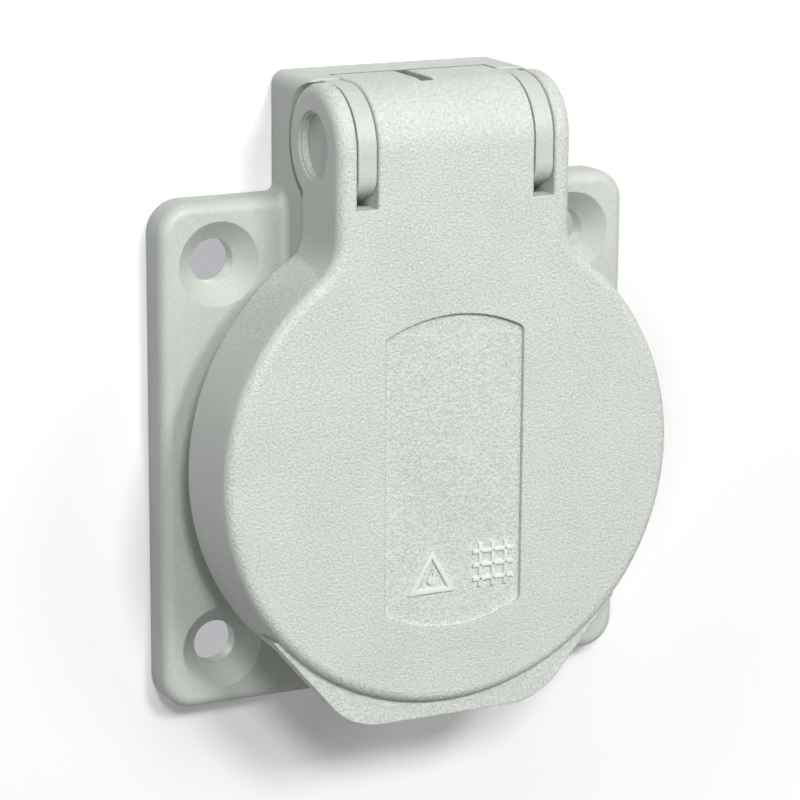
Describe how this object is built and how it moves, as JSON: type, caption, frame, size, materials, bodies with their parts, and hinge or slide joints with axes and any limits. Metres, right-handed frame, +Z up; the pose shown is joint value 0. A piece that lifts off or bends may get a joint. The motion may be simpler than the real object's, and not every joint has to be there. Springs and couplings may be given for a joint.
{
  "type": "panel-mounting earthed power socket with sprung hinged lid",
  "caption": "Panel-mounting earthed socket outlet in light grey plastic: square flange with corner fixing holes, round plug well behind a sprung hinged splash lid.",
  "frame": {"origin": "centre of the four fixing holes, in the plane of the flange's back face", "axes": "-Y out of the panel towards the user, +Z up towards the hinge, +X to the right as seen from the front"},
  "size_m": [0.05, 0.0441, 0.0618],
  "materials": {
    "grey_moulding": "light grey thermoplastic, finely spark-eroded texture on the lid's face, smooth elsewhere",
    "white_moulding": "off-white glass-filled base moulding, semi-matte",
    "seal_rubber": "black soft rubber, matte",
    "contact_brass": "bright stamped brass",
    "zinc_steel": "bright zinc-plated steel",
    "spring_steel": "drawn stainless spring wire and strip"
  },
  "bodies": {
    "housing": {"flange_housing": "grey_moulding", "panel_gasket": "seal_rubber", "contact_carrier": "white_moulding", "rear_cover": "white_moulding", "earth_bracket": "contact_brass", "centre_screw": "zinc_steel", "hinge_spring": "spring_steel", "contact_line": "contact_brass", "contact_neutral": "contact_brass", "contact_spring_line": "spring_steel", "contact_spring_neutral": "spring_steel", "terminal_screw_line": "zinc_steel", "terminal_screw_neutral": "zinc_steel", "terminal_screw_earth": "zinc_steel", "clamp_plate_line": "zinc_steel", "clamp_plate_neutral": "zinc_steel", "clamp_plate_earth": "zinc_steel", "cover_screw_left": "zinc_steel", "cover_screw_right": "zinc_steel"},
    "lid": {"lid": "grey_moulding", "lid_gasket": "seal_rubber", "hinge_pin_left": "grey_moulding", "hinge_pin_right": "grey_moulding"}
  },
  "joints": [
    {"name": "lid_hinge", "type": "hinge", "parent": "housing", "child": "lid", "pos_m": [0, -0.0098, 0.0308], "axis": [-1, 0, 0], "range_deg": [0, 100], "stiffness_Nm_per_rad": 0.0225, "springref_deg": -57.3, "deforming": ["hinge_spring"]}
  ]
}
